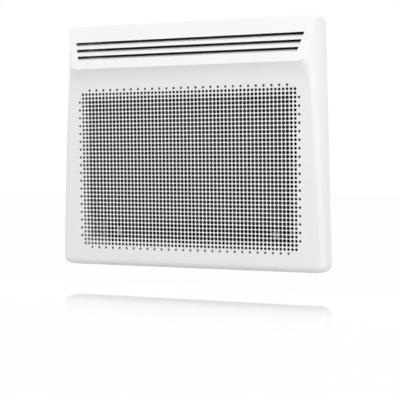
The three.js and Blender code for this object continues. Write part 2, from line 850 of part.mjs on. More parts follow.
function supportBracket(side) {
  const near = side * (bracketX - elementBracket.sheet / 2);
  const far = side * (bracketX + elementBracket.sheet / 2);
  const footY = shieldFrontY - seat;
  const tip = elementY - bush.collar - elementBracket.beyondCollar;
  const [x0, x1] = [Math.min(near, far), Math.max(near, far)];
  const footEnd = near - side * elementBracket.footWidth;
  const { chamfer } = elementBracket;
  const web = barX([
    [footY, elementZ - elementBracket.halfHeight], [footY, elementZ + elementBracket.halfHeight],
    [tip + chamfer, elementZ + elementBracket.halfHeight], [tip, elementZ + chamfer],
    [tip, elementZ - chamfer], [tip + chamfer, elementZ - elementBracket.halfHeight]
  ], x0, x1);
  const base = block(
    Math.min(near, footEnd), Math.max(near, footEnd), footY - elementBracket.sheet, footY,
    elementZ - elementBracket.halfHeight, elementZ + elementBracket.halfHeight
  );
  const hole = rod([x0 - 1, elementY, elementZ], [x1 + 1, elementY, elementZ], bush.radius + seat);
  return cut(join(web, base), hole);
}

// ---- Electrical pieces inside ----
function thermalCutout() {
  const y = shieldFrontY - seat;
  const z = zBottom + cutout.rise;
  return join(
    block(
      cutout.x - cutout.flangeWidth / 2, cutout.x + cutout.flangeWidth / 2,
      y - cutout.flange, y, z - cutout.flangeHeight / 2, z + cutout.flangeHeight / 2
    ),
    rod([cutout.x, y - cutout.height, z], [cutout.x, y - cutout.flange + 0.5, z], cutout.radius)
  );
}

const terminalZ = zBottom + terminal.rise;

function terminalBlock() {
  const y = casingInnerY - seat;
  const body = block(
    terminalX - terminal.width / 2, terminalX + terminal.width / 2,
    y - terminal.depth, y, terminalZ - terminal.height / 2, terminalZ + terminal.height / 2
  );
  const wells = Array.from({ length: terminal.poles }, (_, i) => {
    const z = terminalZ + (i - (terminal.poles - 1) / 2) * terminal.height / terminal.poles;
    return rod([terminalX, y - terminal.depth - 1, z], [terminalX, y - terminal.depth + terminal.wellDepth, z],
      terminal.screwRadius, 10);
  });
  return cut(body, ...wells);
}

const glandY = rimY + gland.behindRim;

function cableGland() {
  const top = casingFloorZ - seat;
  const at = (z) => [glandX, glandY, z];
  return cut(
    join(
      rod(at(top - gland.flangeHeight), at(top), gland.flange, 6),
      rod(at(top - 0.5), at(top + gland.length), gland.radius, 16, gland.tip)
    ),
    rod(at(top - gland.flangeHeight - 1), at(top + gland.length + 1), gland.bore, 12)
  );
}

function roomSensor() {
  const z = insideFloorZ + seat;
  const at = (height) => [sensorX, inletY, z + height];
  return join(
    rod(at(0), at(1.5), sensor.foot, 10),
    rod(at(1), at(sensor.postHeight), sensor.postRadius, 8),
    rod(at(sensor.postHeight - 1), at(sensor.postHeight + 6), sensor.beadRadius, 10, sensor.beadRadius * 0.6)
  );
}

const housingBottomZ = control.centreZ - control.height / 2;

function supplyLead() {
  const startZ = terminalZ + terminal.height / 2 + seat;
  const endZ = housingBottomZ - seat;
  const y = casingInnerY - terminal.depth / 2;
  const endX = faceX - control.depth / 2 - 6;
  return tube([
    [terminalX, y, startZ],
    [terminalX, y, startZ + lead.bend],
    [(terminalX + endX) / 2, y - lead.sag, (startZ + endZ) / 2],
    [endX, controlY, endZ - lead.bend],
    [endX, controlY, endZ]
  ]);
}

function elementLead() {
  const endZ = housingBottomZ - seat;
  const startX = faceX - control.depth / 2 - 4;
  const y = controlY - control.width / 2 + 6;
  return tube([
    [startX, y, endZ],
    [startX, y, endZ - 8],
    [startX - 2, (y + elementY) / 2, (endZ + elementZ) / 2],
    [rodEnd + lead.rodLoop[0], elementY, elementZ + lead.rodLoop[1]],
    [rodEnd + lead.rodRun, elementY, elementZ],
    [rodEnd + seat, elementY, elementZ]
  ]);
}

// ---- Controls on the right flank ----
const controlHeight = (below) => controlTopZ - below;
const buttonZ = (i) => controlHeight(button.firstBelow + i * button.pitch);
const displayZ = controlHeight(display.below);
const rockerZ = controlHeight(rocker.below);

// A block centred on the housing's face line, between two depths behind the face.
function behindFace(near, far, width, tall, z) {
  return block(faceX - far, faceX - near, controlY - width / 2, controlY + width / 2, z - tall / 2, z + tall / 2);
}

function controlHousing() {
  const outline = new THREE.Shape(roundedRect(
    controlY - control.width / 2, controlY + control.width / 2, housingBottomZ, controlTopZ, control.corner
  ).getPoints(3));
  const body = barX(outline, faceX - control.depth, faceX);
  const hollow = behindFace(
    control.wall, control.depth + 1, control.width - 2 * control.wall,
    control.height - 2 * control.wall, control.centreZ
  );
  const buttonHoles = button.names.map((_, i) => behindFace(
    -1, control.wall + 1, button.width + 2 * seat, button.height + 2 * seat, buttonZ(i)
  ));
  return cut(
    body,
    hollow,
    ...buttonHoles,
    behindFace(-1, display.glass + seat, display.width + 2 * seat, display.height + 2 * seat, displayZ),
    behindFace(-1, control.wall + 1, display.width - 2 * display.bezel,
      display.height - 2 * display.bezel, displayZ),
    behindFace(-1, control.wall + 1, rocker.bodyWidth + 2 * seat, rocker.bodyHeight + 2 * seat, rockerZ)
  );
}

const displayWindow = () => behindFace(0, display.glass, display.width, display.height, displayZ);

function pushButton(i) {
  const z = buttonZ(i);
  const collarNear = control.wall + seat;
  const collarFar = collarNear + button.collarDepth;
  return join(
    behindFace(-button.proud, collarFar, button.width, button.height, z),
    behindFace(collarNear, collarFar, button.width + 2 * button.collar, button.height + 2 * button.collar, z),
    behindFace(collarFar - 0.5, collarNear + button.plunger, 4, 4, z)
  );
}

const boardWidth = control.width - 2 * control.wall - 2 * seat;

function controlBoard() {
  const top = controlTopZ - control.wall - seat;
  const bottom = rockerZ + rocker.bodyHeight / 2 + 4;
  return behindFace(
    board.behindFace, board.behindFace + board.thickness, boardWidth, top - bottom, (top + bottom) / 2
  );
}

function powerBoard() {
  return behindFace(
    board.powerBehindFace, board.powerBehindFace + board.thickness, boardWidth,
    control.height - 2 * control.wall - 2 * seat, control.centreZ
  );
}

function relayBlock() {
  const far = board.powerBehindFace - seat;
  return behindFace(far - relay.depth, far, relay.width, relay.height, controlHeight(relay.below));
}

function tiltSwitch() {
  const far = faceX - board.powerBehindFace + seat;
  const z = controlHeight(tilt.below);
  return rod([far, controlY, z], [far + tilt.depth, controlY, z], tilt.radius, 12);
}

function switchBody() {
  return cut(
    join(
      behindFace(-seat - rocker.bezel, -seat, rocker.bezelWidth, rocker.bezelHeight, rockerZ),
      behindFace(-seat - 0.5, rocker.bodyDepth, rocker.bodyWidth, rocker.bodyHeight, rockerZ)
    ),
    behindFace(-5, rocker.wellDepth - seat - rocker.bezel, rocker.wellWidth, rocker.wellHeight, rockerZ)
  );
}

function switchRocker() {
  const half = rocker.halfHeight;
  const profile = [
    [-3.5, 0], [1.4, -half], [5.5, -half], [4.3, 0], [5.5, half], [1.4, half]
  ].map(([x, z]) => {
    const away = new THREE.Vector2(x, z).rotateAround(new THREE.Vector2(), rocker.swing);
    return [faceX - rocker.pivotDepth + away.x, rockerZ + away.y];
  });
  const wide = rocker.wellWidth / 2 - seat;
  return plateY(shapeOf(profile), controlY - wide, controlY + wide);
}

// ---- Wall spacers and wall bracket ----
function wallSpacer(i) {
  const [x, z] = footPlaces[i];
  const top = casingBackY + seat;
  return join(
    rod([x, top, z], [x, -seat, z], foot.neckRadius, 14, foot.wallRadius),
    rod([x, top - seat - casing.sheet - foot.plugLength, z], [x, top + 0.5, z], foot.plug, 10)
  );
}

function hookProfile() {
  const standY = casingBackY + seat;
  const notchY = casingInnerY - 2 * seat;
  const tipY = notchY - bracket.hookWidth;
  const half = bracket.legHeight / 2;
  const points = [[0, -half], [standY, -half]];
  for (const z of bracket.hookHeights) {
    points.push(
      [standY, z - bracket.hookShank],
      [tipY + 1.5, z - bracket.hookShank],
      [tipY, z - bracket.hookShank + 1.5],
      [tipY, z + bracket.hookLip - 1],
      [tipY + 1, z + bracket.hookLip],
      [notchY, z + bracket.hookLip],
      [notchY, z],
      [standY, z]
    );
  }
  points.push([standY, half], [0, half]);
  return points;
}

function wallBracket() {
  const half = bracket.legHeight / 2;
  const inner = bracket.legX - bracket.legWidth;
  const legs = [-1, 1].flatMap((side) => {
    const flange = [side * bracket.legX, side * (bracket.legX - bracket.sheet)].sort((a, b) => a - b);
    const web = [side * inner, side * bracket.legX].sort((a, b) => a - b);
    return [
      barX(hookProfile(), ...flange),
      plateY(roundedRect(...web, -half, half, 3), -bracket.sheet, 0)
    ];
  });
  const bar = block(-inner - 5, inner + 5, -bracket.sheet, 0, -bracket.barHeight / 2, bracket.barHeight / 2);
  const rib = block(-inner - 2, inner + 2, -bracket.sheet - 4, -bracket.sheet + 0.5, 10, 12);
  const holes = [-1, 1].map((side) => rod(
    [side * bracket.screwX, -10, 0], [side * bracket.screwX, 1, 0], bracket.screwHole, 12
  ));
  return cut(join(...legs, bar, rib), ...holes);
}

// ---- Colours and finishes ----
const finishes = {
  whiteCoat: { color: 0xefefee, roughness: 0.45, metalness: 0 },
  casingCoat: { color: 0xe4e4e2, roughness: 0.5, metalness: 0 },
  zinc: { color: 0xb9bcbf, roughness: 0.4, metalness: 0.9 },
  blackEnamel: { color: 0x2b2b2c, roughness: 0.6, metalness: 0.1 },
  aluminium: { color: 0xc9ccd0, roughness: 0.35, metalness: 0.9 },
  ceramic: { color: 0xefe9dc, roughness: 0.6, metalness: 0 },
  steel: { color: 0x8d9093, roughness: 0.4, metalness: 0.9 },
  darkPlastic: { color: 0x2e3032, roughness: 0.5, metalness: 0 },
  greyPlastic: { color: 0x8b8f92, roughness: 0.5, metalness: 0 },
  boardGreen: { color: 0x2f6b4a, roughness: 0.55, metalness: 0 },
  smokedLens: { color: 0x15181b, roughness: 0.12, metalness: 0 },
  rubber: { color: 0x3a3b3c, roughness: 0.8, metalness: 0 },
  leadSheath: { color: 0xd8d5cc, roughness: 0.6, metalness: 0 }
};

const group = new THREE.Group();

function add(name, body, finish) {
  const mesh = new THREE.Mesh(geometryOf(body), new THREE.MeshStandardMaterial(finishes[finish]));
  mesh.name = name;
  group.add(mesh);
  return mesh;
}

add('wall_bracket', wallBracket(), 'zinc');
add('front_frame', frontFrame(), 'whiteCoat');
const panelMesh = add('perforated_panel', perforatedPanel(), 'whiteCoat');
panelMesh.position.set(0, fieldY, fieldCentreZ);
panelMesh.rotation.x = field.tilt;
add('rear_casing', rearCasing(), 'casingCoat');
screwPlaces.forEach((place, i) => add(`casing_screw_${i + 1}`, casingScrew(place), 'steel'));
add('inlet_grille', inletGrille(), 'darkPlastic');
add('heat_shield', heatShield(), 'zinc');
spacerPlaces.forEach((place, i) => add(`shield_spacer_${i + 1}`, shieldSpacer(place), 'ceramic'));
add('air_deflector', airDeflector(), 'blackEnamel');
add('radiant_panel', radiantPanel(), 'blackEnamel');
add('radiant_rail_left', radiantRail(-1), 'zinc');
add('radiant_rail_right', radiantRail(1), 'zinc');
add('convector_fins', convectorFins(), 'aluminium');
add('heating_rod', heatingRod(), 'steel');
add('element_bracket_left', supportBracket(-1), 'zinc');
add('element_bracket_right', supportBracket(1), 'zinc');
add('element_bush_left', elementBush(-1), 'ceramic');
add('element_bush_right', elementBush(1), 'ceramic');
add('thermal_cutout', thermalCutout(), 'steel');
add('terminal_block', terminalBlock(), 'ceramic');
add('cable_gland', cableGland(), 'darkPlastic');
add('supply_lead', supplyLead(), 'leadSheath');
add('element_lead', elementLead(), 'leadSheath');
add('room_sensor', roomSensor(), 'greyPlastic');
add('control_housing', controlHousing(), 'whiteCoat');
add('control_board', controlBoard(), 'boardGreen');
add('power_board', powerBoard(), 'boardGreen');
add('relay', relayBlock(), 'darkPlastic');
add('tilt_switch', tiltSwitch(), 'steel');
add('display_window', displayWindow(), 'smokedLens');
button.names.forEach((name, i) => add(name, pushButton(i), 'greyPlastic'));
add('switch_body', switchBody(), 'darkPlastic');
add('switch_rocker', switchRocker(), 'darkPlastic');
add('wall_spacer_left', wallSpacer(0), 'rubber');
add('wall_spacer_right', wallSpacer(1), 'rubber');

export default group;
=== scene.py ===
# Wall panel convector heater, seen from the front right over a pale floor.
# Shapes are drawn in millimetres, as the part is, and brought to metres when a piece is finished.
import math

import bmesh
import bpy
from mathutils import Matrix, Vector


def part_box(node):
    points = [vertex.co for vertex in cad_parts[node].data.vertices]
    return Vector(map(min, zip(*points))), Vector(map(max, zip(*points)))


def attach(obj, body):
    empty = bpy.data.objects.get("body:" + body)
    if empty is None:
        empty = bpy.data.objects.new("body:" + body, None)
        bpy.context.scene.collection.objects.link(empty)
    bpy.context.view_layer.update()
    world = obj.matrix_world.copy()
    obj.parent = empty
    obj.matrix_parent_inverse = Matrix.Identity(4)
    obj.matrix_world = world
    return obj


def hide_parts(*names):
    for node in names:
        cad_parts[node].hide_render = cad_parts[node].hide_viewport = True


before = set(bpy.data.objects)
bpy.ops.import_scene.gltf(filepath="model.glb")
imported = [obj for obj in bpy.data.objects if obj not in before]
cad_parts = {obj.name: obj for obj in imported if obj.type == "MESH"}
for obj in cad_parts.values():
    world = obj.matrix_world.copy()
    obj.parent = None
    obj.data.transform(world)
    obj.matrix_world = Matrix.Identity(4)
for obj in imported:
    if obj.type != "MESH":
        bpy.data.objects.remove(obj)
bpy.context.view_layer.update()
print("frame loaded:", len(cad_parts), "nodes")


# The camera stands where the photograph was taken from.
camera = {
    "place": (0.9141, -1.9280, -0.0344),
    "tilt": 90 - 1.642,
    "turn": 25.812,
    "lens": 110.19,
    "sensor": 36,
    "nearest": 0.05,
    "farthest": 60,
}

cameraData = bpy.data.cameras.new("camera")
cameraData.lens = camera["lens"]
cameraData.sensor_width = camera["sensor"]
cameraData.clip_start = camera["nearest"]
cameraData.clip_end = camera["farthest"]
cameraObject = bpy.data.objects.new("camera", cameraData)
cameraObject.location = camera["place"]
cameraObject.rotation_euler = (math.radians(camera["tilt"]), 0, math.radians(camera["turn"]))
bpy.context.scene.collection.objects.link(cameraObject)
bpy.context.scene.camera = cameraObject
bpy.context.scene.view_settings.view_transform = "Standard"


# Small tools.
perMetre = 1000  # millimetres
hair = 0.01  # mm: places this near each other are one
sharpAngle = 35  # an edge that turns by more than this is a corner, and gets rounded


def linearColour(hexColour):
    parts = [int(hexColour[k:k + 2], 16) / 255 for k in (1, 3, 5)]
    return [c / 12.92 if c <= 0.04045 else ((c + 0.055) / 1.055) ** 2.4 for c in parts] + [1]


def addNode(tree, kind, settings=None, links=None):
    node = tree.nodes.new(kind)
    for key, value in (settings or {}).items():
        if isinstance(key, int) or key in node.inputs:
            node.inputs[key].default_value = value
        else:
            setattr(node, key, value)
    for key, source in (links or {}).items():
        tree.links.new(source, node.inputs[key])
    return node


def vertsOf(geometry):
    return [g for g in geometry if isinstance(g, bmesh.types.BMVert)]


def meshFrom(name, bm):
    mesh = bpy.data.meshes.new(name)
    bm.to_mesh(mesh)
    bm.free()
    return mesh


def sharpEdges(bm, angle=sharpAngle):
    return [e for e in bm.edges if e.calc_face_angle(0) > math.radians(angle)]


def finishPiece(bm, name, body, finish, replaced=(), smoothAngle=32):
    bmesh.ops.scale(bm, vec=(1 / perMetre,) * 3, verts=bm.verts)
    for face in bm.faces:
        face.smooth = True
    for edge in sharpEdges(bm, smoothAngle):
        edge.smooth = False
    mesh = meshFrom(name, bm)
    mesh.materials.append(finish)
    piece = bpy.data.objects.new(name, mesh)
    bpy.context.scene.collection.objects.link(piece)
    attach(piece, body)
    if replaced:
        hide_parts(*replaced)
    return piece


def dressNodes(finish, *names):
    for name in names:
        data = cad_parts[name].data
        data.materials.clear()
        data.materials.append(finish)


# Finishes, each named for its real material.
grains = {
    "drift": 70,  # mm over which a coat's two close tones drift
    "driftDetail": 2,
    "peelDetail": 3,  # of a coat's orange peel
    "peelBump": 0.5,
    "metalFiner": 3,  # how much finer a metal's relief is than its grain
    "metalDetail": 4,
    "metalBump": 0.4,
}


def newFinish(name, roughness, metallic=0.0):
    material = bpy.data.materials.new(name)
    material.use_nodes = True
    tree = material.node_tree
    shader = tree.nodes["Principled BSDF"]
    shader.inputs["Roughness"].default_value = roughness
    shader.inputs["Metallic"].default_value = metallic
    place = addNode(tree, "ShaderNodeTexCoord").outputs["Object"]
    return material, tree, shader, place


def addSurface(tree, shader, tones, blend, height, bump, depth):
    # One pattern blends the two tones, and another raises the surface, to its depth in mm.
    tone = addNode(tree, "ShaderNodeMix",
                   {"data_type": "RGBA", 6: linearColour(tones[0]), 7: linearColour(tones[1])},
                   {"Factor": blend})
    relief = addNode(tree, "ShaderNodeBump", {"Strength": bump, "Distance": depth / perMetre},
                     {"Height": height})
    tree.links.new(tone.outputs[2], shader.inputs["Base Color"])
    tree.links.new(relief.outputs["Normal"], shader.inputs["Normal"])


def paintedFinish(name, tones, roughness, grain, depth):
    material, tree, shader, place = newFinish(name, roughness)
    drift = addNode(tree, "ShaderNodeTexNoise",
                    {"Scale": perMetre / grains["drift"], "Detail": grains["driftDetail"]},
                    {"Vector": place})
    peel = addNode(tree, "ShaderNodeTexNoise",
                   {"Scale": perMetre / grain, "Detail": grains["peelDetail"]}, {"Vector": place})
    addSurface(tree, shader, tones, drift.outputs["Fac"], peel.outputs["Fac"],
               grains["peelBump"], depth)
    return material


def metalFinish(name, tones, roughness, grain, depth, metallic=1.0):
    material, tree, shader, place = newFinish(name, roughness, metallic)
    cells = addNode(tree, "ShaderNodeTexVoronoi", {"Scale": perMetre / grain}, {"Vector": place})
    noise = addNode(tree, "ShaderNodeTexNoise",
                    {"Scale": grains["metalFiner"] * perMetre / grain,
                     "Detail": grains["metalDetail"]},
                    {"Vector": place})
    addSurface(tree, shader, tones, cells.outputs["Color"], noise.outputs["Fac"],
               grains["metalBump"], depth)
    return material


# After each name: the two tones, the roughness, and the grain's size and depth in mm.
# Moulded ABS under a satin white coat: soft even sheen, no texture to speak of.
whiteMoulding = paintedFinish("whiteSatinMoulding", ("#F0F0EF", "#EDEDEC"), 0.42, 1.2, 0.01)
# Polyester powder coat on punched steel: the same white, very slightly duller.
whiteSheet = paintedFinish("whitePowderCoatSteel", ("#F0F0EF", "#EDEDEC"), 0.45, 0.8, 0.01)
# Powder coat on the rear tray: a cooler, flatter white with a visible peel.
casingCoat = paintedFinish("casingPowderCoat", ("#E2E3E2", "#DCDDDC"), 0.55, 1.5, 0.04)
# Galvanised sheet: grey with faint crystal spangle.
zincSheet = metalFinish("galvanisedSheet", ("#B4B8BA", "#A3A8AB"), 0.42, 7, 0.01)
# Matt black heat-proof enamel, its black partly painted shade for the inside of the box: nearly no
# light comes back through the holes.
blackEnamelAndInnerShade = paintedFinish("blackHeatEnamelAndInnerShade", ("#161617", "#1B1B1C"), 0.75, 0.6, 0.02)
# Dark grey heat-proof coat on the plate behind the outlet, partly painted shade: an even dull tone
# in the slots, where the closed box would be in shade.
greyEnamelAndSlotShade = paintedFinish("greyHeatEnamelAndSlotShade", ("#454647", "#3E3F40"), 0.7, 0.6, 0.02)
# Black anodised aluminium extrusion: dull sheen on the fins.
blackAluminium = metalFinish("blackAnodisedAluminium", ("#1A1A1C", "#232326"), 0.5, 3, 0.005, 0.6)
# Stainless heating rod, drawn and heat-tinted: a brownish soft shine.
rodSteel = metalFinish("heatTintedSteel", ("#4A4540", "#3A3632"), 0.4, 4, 0.005)
# Zinc-plated screws: brighter and sharper than the sheet.
screwSteel = metalFinish("zincPlatedScrew", ("#B9BCBE", "#A9ACAE"), 0.3, 1.5, 0.003)
# Unglazed steatite: chalky off-white.
ceramic = paintedFinish("steatiteCeramic", ("#DDD7C9", "#D2CBBC"), 0.8, 0.5, 0.02)
# Glass-filled polyamide: dark grey with a fine spark texture.
darkNylon = paintedFinish("darkPolyamide", ("#2B2D2F", "#323436"), 0.55, 0.6, 0.03)
# Moulded keys in a light grey: a matt touch surface.
greyKey = paintedFinish("greyKeyMoulding", ("#A9ADB0", "#A2A6A9"), 0.5, 0.5, 0.02)
# Solder-masked circuit board: smooth dark green.
boardGreen = paintedFinish("greenCircuitBoard", ("#2C6244", "#24543A"), 0.4, 2, 0.02)
# Smoked acrylic lens over a dark display: near black, with clear reflections.
smokedLens = paintedFinish("smokedAcrylic", ("#0E1012", "#111316"), 0.08, 5, 0.001)
# Rubber spacer feet: flat dark grey.
footRubber = paintedFinish("matRubber", ("#3A3B3C", "#343536"), 0.8, 0.8, 0.03)
# Silicone sheath of the leads: pale and waxy.
leadSheath = paintedFinish("siliconeSheath", ("#CFCCC3", "#C5C2B8"), 0.6, 0.8, 0.01)

dressNodes(zincSheet, "wall_bracket")
dressNodes(whiteMoulding, "front_frame", "control_housing")
dressNodes(whiteSheet, "perforated_panel")
dressNodes(casingCoat, "rear_casing")
dressNodes(screwSteel, *[f"casing_screw_{i}" for i in range(1, 9)])
dressNodes(darkNylon, "inlet_grille", "cable_gland", "relay", "switch_body", "switch_rocker")
# The deflector's dark grey is partly painted shade inside the slots.
dressNodes(greyEnamelAndSlotShade, "air_deflector")
# The black of the shield, plates, rails and brackets inside is partly painted shade behind the
# holes.
dressNodes(blackEnamelAndInnerShade, "heat_shield", "radiant_panel", "radiant_rail_left",
           "radiant_rail_right", "element_bracket_left", "element_bracket_right")
dressNodes(ceramic, *[f"shield_spacer_{i}" for i in range(1, 5)], "element_bush_left",
           "element_bush_right", "terminal_block")
dressNodes(blackAluminium, "convector_fins")
dressNodes(rodSteel, "heating_rod", "thermal_cutout", "tilt_switch")
dressNodes(leadSheath, "supply_lead", "element_lead")
dressNodes(greyKey, "room_sensor", "button_power", "button_mode", "button_plus", "button_minus")
dressNodes(boardGreen, "control_board", "power_board")
dressNodes(smokedLens, "display_window")
dressNodes(footRubber, "wall_spacer_left", "wall_spacer_right")
print("finishes made")


# The moulded front frame, one closed wall with its window and slots.
shell = {
    "half": 208.5,  # half the height
    "wall": 3,
    "rimY": -54.8,
    "rimHalf": 239.5,
    "taper": 0.0292,
    "fieldY": -93.5,
    "fieldCentreZ": -41.7,
    "fieldTilt": 1.76,
    "corner": 15,
    "topCorner": 9,
    "topRearCorner": 12.5,
    "bottomFillet": 11,
    "topEdge": 3,
    "lipZ": 130.9,
    "lipReach": 14.7,
    "lipCorner": 9,
    "hoodLean": 0.286,
    "crease": 0.8,  # between the hood's front and its flank
    "creaseBack": 0.4,  # how far behind it the flank's own curve begins
    # How far the side has come in at the lip's depth. The rows below it take some of that back:
    # how much, and the heights between which it grows.
    "flank": 23.5,
    "flankPower": 3,  # the side comes in with the cube of the depth
    "flankBelowLip": (8.5, 110, 40),
    "flankLowDown": (11, 40, -160),
    "flankOnTop": (16, 168, 202),
    "flankTopPower": 1.3,
    # Where the field starts to turn, inside the rim.
    "foldStart": 15.5,
    "foldAtLip": (18.2, 47.4),  # what it gains up to the lip, and over which height
    "foldLipPower": 2.5,
    "foldLowDown": (4, -30, -160),  # what it loses, and the heights between which it does
    "foldDepth": 11,
    "scoopFootZ": 98.3,
    "scoopPower": 2.7,
    "windowHalf": 213.5,
    "windowTop": 98.1,
    "windowBottom": -181.5,
    "slotTops": (177.8, 165.6, 153.4),
    "slotHeight": 6.9,
    "slotHalf": (198.4, 0.29),  # at the lip's height, and the gain per mm upwards
    "slotDepth": 9,
    "slotRise": 0.46,  # of a slot's floor and roof, going in
    "slotFlare": 5,  # how far a slot's end wall spreads inwards, so that it stays out of sight
    # The mesh: rows of heights, and columns from the middle to each side.
    "cornerRows": 14,
    "fieldRows": (-160, -130, -100, -70, -40, -10, 20, 40, 55, 70, 80, 88),
    "scoopRows": 18,
    "lipRows": 8,
    "hoodRow": 188.5,
    "openColumns": 8,
    "foldColumns": 12,
    "sideColumns": 6,
    "besideOpening": 3,  # mm from an opening to the next row or column
    "leastBeside": 6,  # mm of flat front that an opening leaves at the least
    "besideFold": 1.2,  # mm from the last flat column to the fold
    "flareBeside": 1.2,  # times a slot's flare, by which the column beside it spreads
}
slope = math.tan(math.radians(shell["fieldTilt"]))
scoopHeight = shell["lipZ"] - shell["scoopFootZ"]
foldColumn = shell["openColumns"] + 3
sideColumn = foldColumn + shell["foldColumns"]
lastColumn = sideColumn + shell["sideColumns"]


def share(value, start, end):
    return min(1, max(0, (value - start) / (end - start)))


def quarterTurn(steps):
    # How far a quarter of a round has dropped, in equal steps of its angle.
    return [1 - math.cos(k / steps * math.pi / 2) for k in range(steps + 1)]


def edgeDrop(distance, radius):
    inside = radius - max(distance, 0)
    return radius - math.sqrt(max(radius ** 2 - inside ** 2, 0)) if inside > 0 else 0


def rimHalf(z):
    return shell["rimHalf"] - shell["taper"] * z


def fieldReach(z):
    return slope * (z - shell["fieldCentreZ"])


def frontReach(z):
    if z >= shell["lipZ"]:
        return shell["lipReach"] - shell["hoodLean"] * (z - shell["lipZ"])
    if z <= shell["scoopFootZ"]:
        return fieldReach(z)
    scoopRise = shell["lipReach"] - fieldReach(shell["lipZ"])
    upScoop = (z - shell["scoopFootZ"]) / scoopHeight
    return fieldReach(z) + scoopRise * upScoop ** shell["scoopPower"]


def flankInset(z):
    below, *belowSpan = shell["flankBelowLip"]
    low, *lowSpan = shell["flankLowDown"]
    top, *topSpan = shell["flankOnTop"]
    return (shell["flank"] - below * share(z, *belowSpan) - low * share(z, *lowSpan)
            - top * share(z, *topSpan) ** shell["flankTopPower"])


def foldStart(z):
    gain, height = shell["foldAtLip"]
    low, *lowSpan = shell["foldLowDown"]
    upToLip = share(z, shell["lipZ"] - height, shell["lipZ"])
    return shell["foldStart"] + gain * upToLip ** shell["foldLipPower"] - low * share(z, *lowSpan)


def openingHalf(z):
    # The slots' ends on the hood, and the window's sides on the field.
    atLip, gain = shell["slotHalf"]
    onHood = atLip + gain * (z - shell["lipZ"])
    upScoop = share(z, shell["scoopFootZ"], shell["lipZ"])
    return shell["windowHalf"] + (onHood - shell["windowHalf"]) * upScoop


def shellRows(inset):
    # Heights from bottom to top; the same count whatever the inset.
    half, corner = shell["half"] - inset, shell["corner"] - inset
    ends = [corner * drop for drop in quarterTurn(shell["cornerRows"])]
    rows = [-half + d for d in ends]
    rows += [shell["windowBottom"], *shell["fieldRows"], shell["windowTop"]]
    rows += [shell["scoopFootZ"] + scoopHeight * k / shell["scoopRows"]
             for k in range(shell["scoopRows"] + 1)]
    rows += [shell["lipZ"] + shell["lipCorner"] * drop
             for drop in quarterTurn(shell["lipRows"])[1:]]
    rise = shell["slotRise"] * shell["slotDepth"] if inset else 0
    slots = []
    for top in reversed(shell["slotTops"]):
        slots += [top - shell["slotHeight"], top]
    rows += [slots[0] - shell["besideOpening"]]
    rows += [z + rise for z in slots]
    rows += [slots[-1] + shell["besideOpening"] + rise, shell["hoodRow"]]
    rows += [half - d for d in reversed(ends)]
    return rows


def shellPoint(z, column, inset, depthOfSlot):
    # A point on the frame's outside, or on its inside when it is set in by the wall.
    up, down = shell["half"] - inset - z, z + shell["half"] - inset
    footCorner = edgeDrop(down, shell["corner"] - inset)
    rearDrop = edgeDrop(up, shell["topRearCorner"] - inset) + footCorner
    frontDrop = edgeDrop(up, max(shell["topCorner"] - inset, hair)) + footCorner
    fillets = (edgeDrop(down, shell["bottomFillet"] - inset)
               + edgeDrop(up, max(shell["topEdge"] - inset, hair)))
    frontY = shell["fieldY"] - frontReach(z) + inset + fillets
    frontDepth = shell["rimY"] - frontY
    lipDepth = shell["rimY"] - shell["fieldY"] + shell["lipReach"]

    def sideX(depth):
        near = share(depth, 0, frontDepth)
        cornerDrop = rearDrop * (1 - near) + frontDrop * near
        comeIn = flankInset(z) * (depth / lipDepth) ** shell["flankPower"]
        return rimHalf(z) - inset - comeIn - cornerDrop

    if z >= shell["lipZ"]:
        crease = shell["crease"] + edgeDrop(z - shell["lipZ"], shell["lipCorner"])
        startX = sideX(frontDepth) - crease
        foldEnd = frontDepth - crease - shell["creaseBack"]
    else:
        startX = rimHalf(z) - foldStart(z) - inset - frontDrop
        foldEnd = frontDepth - shell["foldDepth"]
    foldEnd = max(foldEnd, 1)
    # The fold is a curve from the front to the flank, which it meets in the flank's own direction.
    step = 0.5
    leaning = sideX(foldEnd - step) - sideX(foldEnd)
    turnX = sideX(foldEnd) - leaning * (frontDepth - foldEnd) / step
    inner = min(openingHalf(z), startX - shell["leastBeside"])
    flare = shell["slotFlare"] if depthOfSlot else 0
    k, openColumns = abs(column), shell["openColumns"]
    if k <= openColumns:
        x = (inner + flare) * k / openColumns
        y = frontY + (depthOfSlot - inset if depthOfSlot else 0)
    elif k == openColumns + 1:
        beside = min(shell["besideOpening"], (startX - inner) / 2)
        x, y = inner + beside + flare * shell["flareBeside"], frontY
    elif k == openColumns + 2:
        x, y = startX - shell["besideFold"], frontY
    elif k <= sideColumn:
        t = (k - foldColumn) / shell["foldColumns"]
        ends = zip((startX, frontY), (turnX, frontY), (sideX(foldEnd), shell["rimY"] - foldEnd))
        x, y = [(1 - t) ** 2 * a + 2 * t * (1 - t) * b + t ** 2 * c for a, b, c in ends]
    else:
        depth = foldEnd * (1 - (k - sideColumn) / shell["sideColumns"])
        x, y = sideX(depth), shell["rimY"] - depth
    return Vector((-x if column < 0 else x, y, z))


def isOpening(z, column):
    # Whether a face is left out, from the height of its lower row and its left column.
    if not -shell["openColumns"] <= column < shell["openColumns"]:
        return False
    if shell["windowBottom"] - hair <= z < shell["windowTop"] - hair:
        return True
    return any(abs(z - top + shell["slotHeight"]) < hair for top in shell["slotTops"])


def isSlotRow(z):
    return any(top - shell["slotHeight"] - hair < z < top + hair for top in shell["slotTops"])


